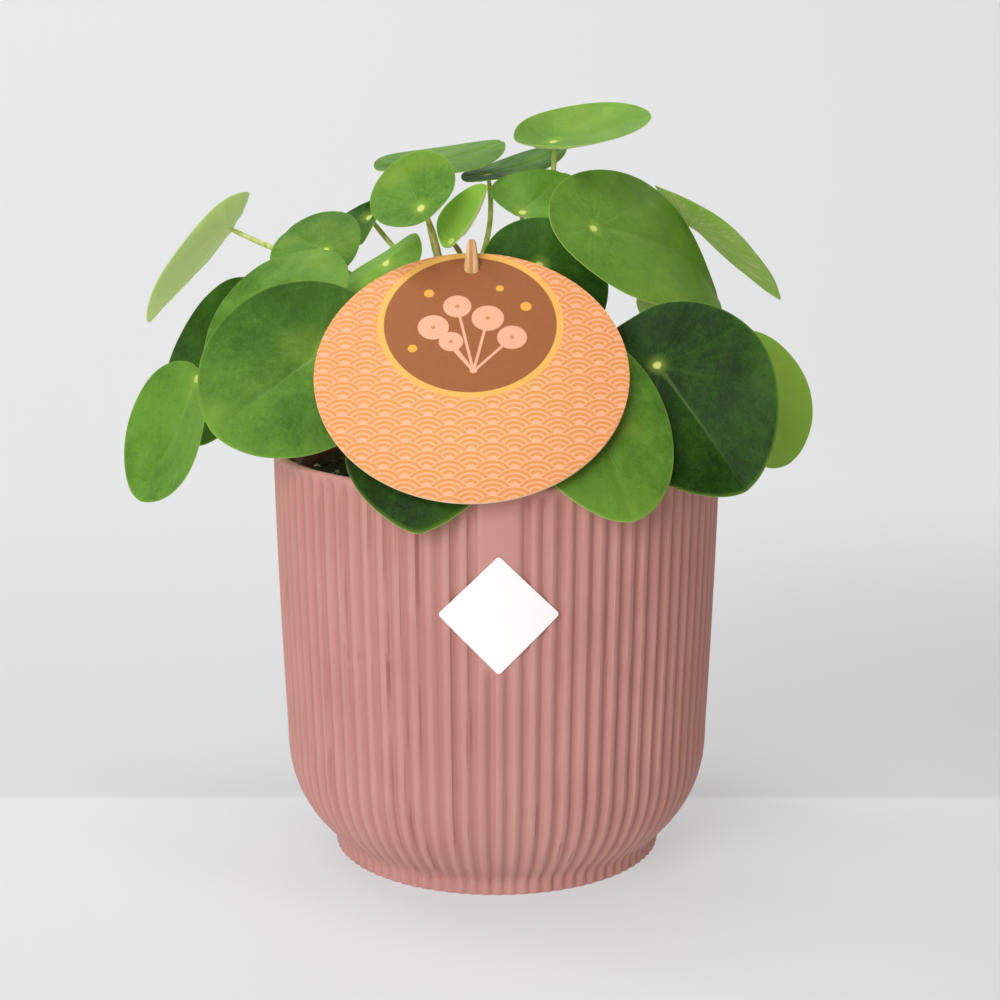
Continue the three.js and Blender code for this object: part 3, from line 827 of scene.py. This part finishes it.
def rib_line(angle, bend, width):
    """A vein from the stalk to the edge at this angle, alike on both halves of the blade."""
    c, s = math.cos(math.radians(angle)), math.sin(math.radians(angle))
    half = leaf_y.size()
    along = leaf_x * c + half * s
    beside = half * c - leaf_x * s - along * along * bend
    return (beside.size() / width).ramp(1.0, 0.2) * along.ramp(0.0, 0.05)


midrib = rib_line(0, 0.0, 0.018 - leaf_out * 0.011)
veins = midrib
for vein_angle, vein_bend in ((33, 0.14), (66, 0.1), (102, 0.06), (140, 0.02)):
    veins = veins.most(rib_line(vein_angle, vein_bend, 0.014) * 0.55)
fan = waxy.add("CombineXYZ", {}, {
    0: leaf_x / (leaf_out + 0.02) * 9.0, 1: leaf_y / (leaf_out + 0.02) * 9.0, 2: leaf_out * 2.2,
})
fine_fan = waxy.grain(fan, 1.6, 3.0, 0.6)
sun = waxy.grain(leaf_place, 34.0, 2.0)
patch = waxy.grain(leaf_place, 95.0, 4.0)
mottle = waxy.grain(leaf_place, 420.0, 4.0, 0.7)
cells = waxy.add("TexVoronoi", {"feature": "F1"}, {"Vector": leaf_place, "Scale": 1100.0})
vein_fade = leaf_out.ramp(1.0, 0.1, 0.15, 1.0)
lightness = leaf_tone + (sun - 0.5) * 0.3 + (patch - 0.5) * 0.32
lightness = lightness + (fine_fan - 0.5) * leaf_out.ramp(0.0, 0.2) * 0.1
lightness = lightness + (mottle - 0.5) * 0.24 + (cells - 0.5) * 0.08
old = waxy.mix(lightness.ramp(0.0, 0.36), sRGB("17330B"), sRGB("3A681A"))
grown = waxy.mix(lightness.ramp(0.28, 0.64), old, sRGB("679636"))
upper_tone = waxy.mix(lightness.ramp(0.58, 1.0), grown, sRGB("8EBC4C"))
upper_tone = waxy.mix(sun.ramp(0.55, 0.75) * leaf_tone.ramp(0.2, 0.5) * 0.35, upper_tone, sRGB("8FA536"))
upper_tone = waxy.mix(midrib * vein_fade * 0.1, upper_tone, sRGB("9BBC6A"))
upper_tone = waxy.mix(veins * vein_fade * 0.07, upper_tone, sRGB("9BBC6A"))
under_tone = waxy.mix(lightness.ramp(0.1, 0.9), sRGB("8FB04C"), sRGB("CFE396"))
under_tone = waxy.mix(veins * 0.4 + fine_fan.ramp(0.55, 0.7) * 0.4, under_tone, sRGB("D6E3A6"))
leaf_colour = waxy.mix(leaf_upper, under_tone, upper_tone)
leaf_colour = waxy.mix(leaf_out.ramp(0.975, 1.0) * 0.22, leaf_colour, sRGB("8FB050"))
halo = leaf_away.ramp(4.4, 1.0) * leaf_upper
leaf_colour = waxy.mix(halo * 0.3, leaf_colour, sRGB("A9CC50"))
spot = leaf_away.ramp(1.6, 0.8) * leaf_upper
leaf_colour = waxy.mix(spot * 0.9, leaf_colour, sRGB("DCE584"))
leaf_rough = 0.5 + (mottle - 0.5) * 0.2 + (1.0 - leaf_upper) * 0.15
DARK = (0.0, 0.0, 0.0)
# A sixth of the underside's colour is given off: a painted light, standing in for the light that
# comes through a thin blade.
painted_glow = waxy.mix(leaf_upper, waxy.mix(0.83, under_tone, DARK), DARK)
waxy.set(
    Base_Color=leaf_colour,
    Roughness=leaf_rough + leaf_out.ramp(0.96, 1.0) * 0.3,
    Specular_IOR_Level=0.13,
    Emission_Color=painted_glow,
    Emission_Strength=1.0,
    Subsurface_Weight=0.3,
    Subsurface_Radius=(0.55, 1.0, 0.2),
    Subsurface_Scale=1.2 * MM,
)
waxy.bump(
    patch * 0.5 + fine_fan * 0.16 + mottle * 0.24 + cells * 0.08 - veins * vein_fade * 0.2,
    0.55 * MM, 0.9
)

leaf_nodes = sorted(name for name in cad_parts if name.startswith("leaf_"))
for number, node in enumerate(leaf_nodes):
    blade = grow_blade(node, number)
    wear(blade, waxy)
    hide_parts(node)

# ---------------------------------------------------------------------------------------------
# Plant card. A stiff round card printed on both sides with rows of overlapping wave scales. Near
# the top of the front is a round brown field with a yellow ring and a simple sprig. The stick goes
# through a slot by the upper edge.

CARD_RADIUS = 46 * MM
CARD_THICK = 0.7 * MM
CARD_LEAN = math.radians(43.5)
CARD_LOW, CARD_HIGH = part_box("plant_tag")
CARD_CENTRE = (CARD_LOW + CARD_HIGH) / 2
STICK_LOW, STICK_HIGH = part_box("tag_stick")
STICK_CENTRE = (STICK_LOW + STICK_HIGH) / 2
SLOT_SIZE = (5.3 * MM, 3.9 * MM, 60 * MM)
SLOT_HEIGHT = 180 * MM
BACK_SHIFT = 3.0

# The print is measured in millimetres from the middle of the card, and the arcs inside a scale in
# shares of its radius.
SCALE_RADIUS = 6.2
ROW = SCALE_RADIUS / 2
FIRST_ARC = 0.315
ARC_STEP = 0.27
PALE_BELOW = 8.0
DOT_BLUR = 0.15
STROKE_BLUR = 0.12
FIELD_X = -0.55
FIELD_Y = 18.4
FIELD_RADIUS = 25.6
RING_WIDTH = 2.0

card = start_piece(
    "plant_card", bpy.ops.mesh.primitive_circle_add,
    vertices=192, radius=CARD_RADIUS, fill_type="NGON",
)
edit(card)
bpy.ops.mesh.extrude_region_move(TRANSFORM_OT_translate={"value": (0, 0, -CARD_THICK)})
bpy.ops.mesh.select_all(action="SELECT")
bpy.ops.mesh.normals_make_consistent(inside=False)
pick(card, "edges", lambda e: e.calc_face_angle(0) > math.radians(60))
bpy.ops.mesh.bevel(offset=0.12 * MM, segments=2)
leave_edit()
only(card)
bpy.ops.object.transform_apply(location=True, rotation=True, scale=True)
to_place = Matrix.Translation(CARD_CENTRE) @ Matrix.Rotation(CARD_LEAN, 4, "X")
to_place = to_place @ Matrix.Translation((0, 0, CARD_THICK / 2))
from_place = to_place.inverted()
card.data.transform(to_place)

slot_cutter = start_piece(
    "slot_cutter", bpy.ops.mesh.primitive_cylinder_add, vertices=36, radius=0.5, depth=1,
    location=(STICK_CENTRE.x, STICK_CENTRE.y, SLOT_HEIGHT), scale=SLOT_SIZE,
)
finish_with(card, "BOOLEAN", object=slot_cutter, operation="DIFFERENCE", solver="EXACT")
bpy.data.objects.remove(slot_cutter)
card_map = card.data.uv_layers.new(name="card")
printed = []
for face in card.data.polygons:
    facing = (from_place.to_3x3() @ face.normal).z
    # The back's map is shifted well off the round field, so that it has the waves alone.
    shift = BACK_SHIFT if facing < -0.5 else 0.0
    for index in face.loop_indices:
        on_card = from_place @ card.data.vertices[card.data.loops[index].vertex_index].co
        map_x, map_y = on_card.x / (2 * CARD_RADIUS), on_card.y / (2 * CARD_RADIUS)
        card_map.data[index].uv = (0.5 + map_x + shift, 0.5 + map_y)
    printed.append(1.0 if abs(facing) > 0.9 else 0.0)
card.data.attributes.new("printed", "FLOAT", "FACE").data.foreach_set("value", printed)
smooth(card, 35)

print_paint = Paint("printed_card")
card_place = print_paint.place()
card_uv = print_paint.add("UVMap", {"uv_map": "card"})
card_x = (print_paint.axis(card_uv, "X") - 0.5) * (2 * CARD_RADIUS / MM)
card_y = (print_paint.axis(card_uv, "Y") - 0.5) * (2 * CARD_RADIUS / MM)


def scale_row(number):
    """How far a point is from the middle of the nearest scale of a row, in scale radii."""
    shift = number.math("MODULO", 2.0).size() * SCALE_RADIUS
    along = card_x + shift + 400 * SCALE_RADIUS
    beside = along.math("MODULO", 2 * SCALE_RADIUS) - SCALE_RADIUS
    above = card_y - number * ROW
    return (beside * beside + above * above) ** 0.5 / SCALE_RADIUS


front_row = ((card_y - SCALE_RADIUS) / ROW).math("CEIL")
far_front = scale_row(front_row)
far_middle = scale_row(front_row + 1.0)
far_back = scale_row(front_row + 2.0)
in_front = far_front.math("LESS_THAN", 1.0)
in_middle = far_middle.math("LESS_THAN", 1.0)
behind = in_middle * far_middle + (1.0 - in_middle) * far_back
scale_out = in_front * far_front + (1.0 - in_front) * behind
arcs = scale_out * 0.0
for arc_number in range(3):
    arc_middle = FIRST_ARC + arc_number * ARC_STEP
    arcs = arcs.most((scale_out - arc_middle).size().ramp(0.1, 0.076))
ink_edge = scale_out.math("MODULO", ARC_STEP) / ARC_STEP
pale_y = card_y + PALE_BELOW
to_middle = ((card_x * card_x + pale_y * pale_y) ** 0.5).ramp(44.0, 12.0)
arc_colour = print_paint.mix(ink_edge.ramp(0.25, 0.85), sRGB("E2995A"), sRGB("E4A058"))
arc_colour = print_paint.mix(to_middle * 0.7, arc_colour, sRGB("E2A25A"))
wave_print = print_paint.mix(to_middle, sRGB("F2B48F"), sRGB("F3BA93"))
wave_print = print_paint.mix(arcs, wave_print, arc_colour)


def disc(x, y, radius):
    """1 inside a printed dot."""
    dx, dy = card_x - x, card_y - y
    return ((dx * dx + dy * dy) ** 0.5).ramp(radius + DOT_BLUR, radius - DOT_BLUR)


def stroke(x0, y0, x1, y1, width):
    """1 on a printed straight stroke with round ends."""
    length = math.hypot(x1 - x0, y1 - y0)
    ux, uy = (x1 - x0) / length, (y1 - y0) / length
    dx, dy = card_x - x0, card_y - y0
    along = (dx * ux + dy * uy).most(0.0).least(length)
    ox, oy = dx - along * ux, dy - along * uy
    return ((ox * ox + oy * oy) ** 0.5).ramp(width + STROKE_BLUR, width - STROKE_BLUR)


field = disc(FIELD_X, FIELD_Y, FIELD_RADIUS)
ring = disc(FIELD_X, FIELD_Y, FIELD_RADIUS + RING_WIDTH) * (1.0 - field)
card_front = print_paint.mix(ring, wave_print, sRGB("EFBA62"))
brown_speck = print_paint.grain(card_place, 900.0, 2.0)
brown_ink = print_paint.mix(brown_speck, sRGB("9A5F38"), sRGB("A4683E"))
card_front = print_paint.mix(field, card_front, brown_ink)

# The sprig's round leaves and the loose dots, each by its place and radius on the card.
SPRIG_LEAVES = (
    (-11.5, 17, 4.6), (-4.5, 25, 4.2), (4.6, 20.5, 4.8), (11.8, 13.2, 4.4), (-6.2, 11.6, 3.6)
)
SPRIG_DOTS = ((16, 25, 1.7), (-17.5, 9, 1.4), (8.2, 32, 1.2), (-13, 30, 1.5))
SPRIG_FOOT = (0.5, 0.5)
SPRIG_STALK = 0.42
SPRIG_EYE = 0.7

sprig = disc(SPRIG_FOOT[0], SPRIG_FOOT[1] + 0.4, 1.1)
for leaf_px, leaf_py, leaf_r in SPRIG_LEAVES:
    sprig = sprig.most(disc(leaf_px, leaf_py, leaf_r))
    sprig = sprig.most(stroke(*SPRIG_FOOT, leaf_px, leaf_py, SPRIG_STALK))
card_front = print_paint.mix(sprig, card_front, sRGB("EDB594"))
dots = disc(*SPRIG_DOTS[0])
for dot in SPRIG_DOTS[1:]:
    dots = dots.most(disc(*dot))
card_front = print_paint.mix(dots, card_front, sRGB("EEB14E"))
for leaf_px, leaf_py, leaf_r in SPRIG_LEAVES:
    card_front = print_paint.mix(disc(leaf_px, leaf_py, SPRIG_EYE), card_front, sRGB("D28E66"))

on_print = print_paint.add("Attribute", {"attribute_name": "printed"}, output="Fac")
board = print_paint.grain(card_place, 1500.0, 3.0)
print_paint.set(
    Base_Color=print_paint.mix(on_print, sRGB("EBCBA4"), card_front),
    Roughness=0.55 + board * 0.14,
    Specular_IOR_Level=0.15,
)
print_paint.bump(board, 0.015 * MM, 0.6)
wear(card, print_paint)
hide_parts("plant_tag")

# ---------------------------------------------------------------------------------------------
# Stick. A plain flat stick of pale wood, pushed into the soil behind the card and up through its
# slot, with a blunt tapered tip.

STICK_HALF = (STICK_HIGH.x - STICK_LOW.x) / 2
STICK_DEPTH = (STICK_HIGH.y - STICK_LOW.y) / 2
STICK_SHOULDER = STICK_HIGH.z - 9.5 * MM
TIP_STEPS = ((0.25, 0.93), (0.3, 0.8), (0.28, 0.78), (0.12, 0.7))
TIP_LENGTH = sum(rise for rise, narrow in TIP_STEPS)

stick = start_piece(
    "card_stick", bpy.ops.mesh.primitive_cylinder_add,
    vertices=28, radius=1, depth=1, end_fill_type="NGON",
)
edit(stick)
pick(stick, "faces", lambda f: f.normal.z > 0.9)
for rise, narrow in TIP_STEPS:
    bpy.ops.mesh.extrude_region_move(TRANSFORM_OT_translate={"value": (0, 0, rise)})
    bpy.ops.transform.resize(value=(narrow, narrow, 1), center_override=(0, 0, 0))
leave_edit()


def whittle(co):
    """Flattens the round bar, and fits its length between the foot and the tip."""
    square = 1 + 0.12 * abs(math.sin(2 * math.atan2(co.y, co.x)))
    x = STICK_CENTRE.x + co.x * STICK_HALF * square * 0.96
    y = STICK_CENTRE.y + co.y * STICK_DEPTH * square * 0.96
    if co.z <= 0.5:
        return Vector((x, y, STICK_LOW.z + (co.z + 0.5) * (STICK_SHOULDER - STICK_LOW.z)))
    up_tip = (co.z - 0.5) / TIP_LENGTH
    return Vector((x, y, STICK_SHOULDER + up_tip * (STICK_HIGH.z - STICK_SHOULDER)))


move_points(stick, whittle)
smooth(stick, 40)

wood = Paint("pale_wood")
wood_place = wood.place()
grain_lines = wood.grain(wood.stretched(wood_place, (1, 1, 0.04)), 1500.0, 5.0)
growth = wood.grain(wood.stretched(wood_place, (1, 1, 0.06)), 420.0, 2.0)
wood_tone = wood.mix(growth.ramp(0.35, 0.65), sRGB("DDB073"), sRGB("EBCB98"))
wood_tone = wood.mix(grain_lines.ramp(0.5, 0.75) * 0.6, wood_tone, sRGB("B98A52"))
from_streak = (wood.axis(wood_place, "X") - (STICK_CENTRE.x - 0.2 * MM)).size()
dark_streak = from_streak.ramp(0.9 * MM, 0.3 * MM) * growth.ramp(0.3, 0.5) * 0.7
wood_tone = wood.mix(dark_streak, wood_tone, sRGB("B9793A"))
wood.set(Base_Color=wood_tone, Roughness=0.58 + grain_lines * 0.2)
wood.bump(grain_lines, 0.12 * MM)
wear(stick, wood)
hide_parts("tag_stick")

# ---------------------------------------------------------------------------------------------
# Floor, light and camera. A pale floor that runs up into a pale wall, a large soft window on the
# left in front, weaker lamps right, overhead and on the wall, and a long lens above the leaves.

WALL_Y = 1.5
WALL_HEIGHT = 3
FLOOR_FRONT = 2.5
FLOOR_WIDTH = 7
COVE = 0.9


def at_wall(edge):
    return all(v.co.y > WALL_Y - 0.1 for v in edge.verts)


def at_wall_foot(edge):
    return at_wall(edge) and all(abs(v.co.z) < 0.01 for v in edge.verts)


floor = start_piece("studio_floor", bpy.ops.mesh.primitive_plane_add, size=1)
edit(floor)
bpy.ops.transform.resize(
    value=(FLOOR_WIDTH, WALL_Y + FLOOR_FRONT, 1), center_override=(0, 0, 0)
)
bpy.ops.transform.translate(value=(0, (WALL_Y - FLOOR_FRONT) / 2, 0))
pick(floor, "edges", at_wall)
bpy.ops.mesh.extrude_region_move(TRANSFORM_OT_translate={"value": (0, 0, WALL_HEIGHT)})
pick(floor, "edges", at_wall_foot)
bpy.ops.mesh.bevel(offset=COVE, segments=48)
leave_edit()
smooth(floor, 60)

# The paper glows a little by itself, a painted light that lifts the shadows on it: less past a line
# just behind the pot's middle, more again towards the wall, and less to the right near the pot, a
# painted shade there.
FRONT_GLOW = 0.465
LINE_DROP = 0.09
FAR_GLOW = 0.07
RIGHT_DROP = 0.12

stage_paint = Paint("studio_grey")
stage_place = stage_paint.place()
floor_x = stage_paint.axis(stage_place, "X")
floor_y = stage_paint.axis(stage_place, "Y")
cloud = stage_paint.grain(stage_place, 1.1, 2.0)
behind_line = floor_y.ramp(31 * MM, 36 * MM)
glow = FRONT_GLOW - behind_line * LINE_DROP + floor_y.ramp(40 * MM, 600 * MM) * FAR_GLOW
glow = glow - floor_x.ramp(0, 300 * MM) * floor_y.ramp(600 * MM, 40 * MM) * RIGHT_DROP
glow_colour = stage_paint.add("CombineXYZ", {}, {0: glow * 0.97, 1: glow, 2: glow * 1.01})
stage_paint.set(
    Base_Color=stage_paint.mix(cloud * 0.2, sRGB("939697"), sRGB("999C9D")),
    Roughness=0.85,
    Emission_Color=glow_colour,
    Emission_Strength=1.0,
)
floor.data.materials.append(stage_paint.material)


def soft_light(name, place, aim, size, power, colour=(1, 1, 1)):
    """A lamp of this width and height, turned to face the point it is aimed at."""
    data = bpy.data.lights.new(name, "AREA")
    data.shape = "RECTANGLE"
    data.size, data.size_y = size
    data.energy = power
    data.color = colour
    lamp = bpy.data.objects.new(name, data)
    lamp.location = place
    lamp.rotation_euler = (Vector(aim) - Vector(place)).to_track_quat("-Z", "Y").to_euler()
    bpy.context.scene.collection.objects.link(lamp)


middle_of_plant = (0, 0, 0.13)
wall_behind = (0.0, WALL_Y, 0.55)
COOL = (0.99, 0.99, 1.0)
WARM = (1.0, 0.8, 0.65)
soft_light("window", (-0.78, -1.55, 0.85), middle_of_plant, size=(1.2, 1.2), power=24.5, colour=COOL)
soft_light("fill", (1.4, -1.5, 0.6), middle_of_plant, size=(1.2, 1.2), power=0.5, colour=WARM)
soft_light("overhead", (-0.2, -0.1, 1.8), middle_of_plant, size=(1.4, 1.2), power=8)
soft_light("backdrop", (-0.6, 0.35, 1.5), wall_behind, size=(2.0, 0.4), power=16)

# Past the floor's edges the camera sees a plain pale wall. What lights the plant from there is
# weaker and warm, as from the rest of a room.
world = bpy.data.worlds.new("studio_air")
world.use_nodes = True
air = world.node_tree.nodes["Background"]
air.inputs["Color"].default_value = (1.0, 0.64, 0.46, 1)
air.inputs["Strength"].default_value = 0.23
paper_wall = world.node_tree.nodes.new("ShaderNodeBackground")
paper_wall.inputs["Color"].default_value = (0.74, 0.75, 0.75, 1)
seen_or_felt = world.node_tree.nodes.new("ShaderNodeMixShader")
ray = world.node_tree.nodes.new("ShaderNodeLightPath")
room = world.node_tree.links
room.new(ray.outputs["Is Camera Ray"], seen_or_felt.inputs["Fac"])
room.new(air.outputs["Background"], seen_or_felt.inputs[1])
room.new(paper_wall.outputs["Background"], seen_or_felt.inputs[2])
room.new(seen_or_felt.outputs["Shader"], world.node_tree.nodes["World Output"].inputs["Surface"])
bpy.context.scene.world = world
bpy.context.scene.view_settings.view_transform = "Standard"

CAMERA_PLACE = (1.04 * MM, -640 * MM, 249 * MM)
CAMERA_PITCH = 12.1
LENS = 74.3

camera_data = bpy.data.cameras.new("camera")
camera_data.lens = LENS
camera_data.sensor_width = 36
camera_data.clip_start = 0.01
camera = bpy.data.objects.new("camera", camera_data)
camera.location = CAMERA_PLACE
camera.rotation_euler = (math.radians(90 - CAMERA_PITCH), 0, 0)
bpy.context.scene.collection.objects.link(camera)
bpy.context.scene.camera = camera
